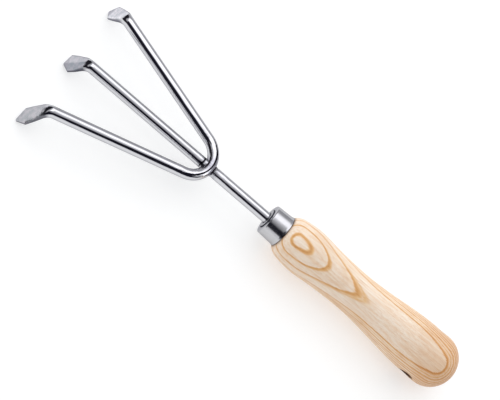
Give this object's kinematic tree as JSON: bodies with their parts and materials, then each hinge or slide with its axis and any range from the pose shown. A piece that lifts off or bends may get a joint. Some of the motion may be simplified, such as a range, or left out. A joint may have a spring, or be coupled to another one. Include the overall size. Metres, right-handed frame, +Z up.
{
  "type": "hand rake",
  "caption": "Hand rake with round steel tines forged into spear-shaped blades, a short shaft, a steel ferrule and a turned ash handle with a hanging hole.",
  "frame": {"origin": "middle of the footprint, on the ground the tool lies on: points down, handle down", "axes": "+X along the shaft towards the handle's end, +Z up away from the points, +Y across the tines"},
  "size_m": [0.304, 0.1028, 0.0354],
  "materials": {
    "plated_rod": "bright plated",
    "weld_metal": "plated over the bead",
    "plated_cap": "bright plated, drawn",
    "ash": "sanded, clear satin",
    "epoxy": "cured adhesive"
  },
  "bodies": {
    "root": {"outer_tines": "plated_rod", "centre_tine": "plated_rod", "shaft": "plated_rod", "front_weld": "weld_metal", "rear_weld": "weld_metal", "ferrule": "plated_cap", "handle": "ash", "tang_glue": "epoxy"}
  },
  "joints": []
}
